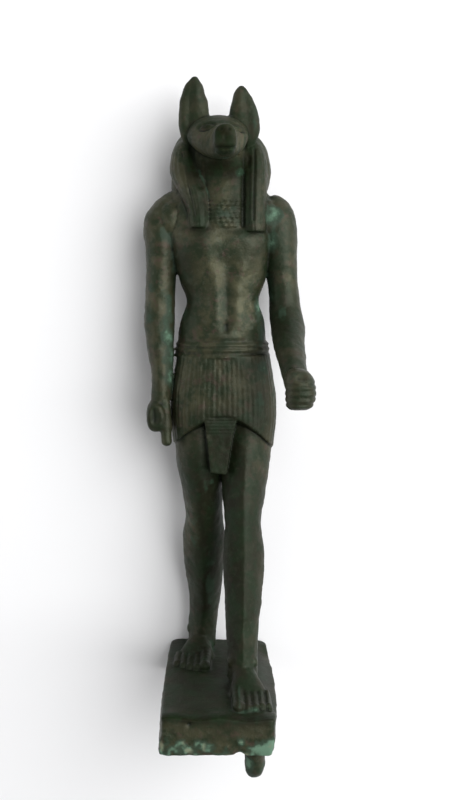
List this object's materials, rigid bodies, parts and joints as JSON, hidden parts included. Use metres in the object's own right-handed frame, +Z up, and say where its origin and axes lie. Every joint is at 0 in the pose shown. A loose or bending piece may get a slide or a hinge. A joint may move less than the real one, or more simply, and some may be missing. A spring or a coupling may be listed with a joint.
{
  "type": "anubis statuette",
  "caption": "Solid bronze statuette of a striding jackal-headed god in a pleated kilt, cast in one with a thick base and a casting tang; it lies on its back.",
  "frame": {"origin": "middle of the part's box, on the surface that it lies on", "axes": "+Z up, out of the chest of the lying figure; +Y towards the ears; +X to the figure's left"},
  "size_m": [0.0408, 0.1642, 0.0505],
  "materials": {
    "bronze": "dark olive-brown bronze with green corrosion in the hollows"
  },
  "bodies": {
    "root": {"anubis_statuette": "bronze"}
  },
  "joints": []
}
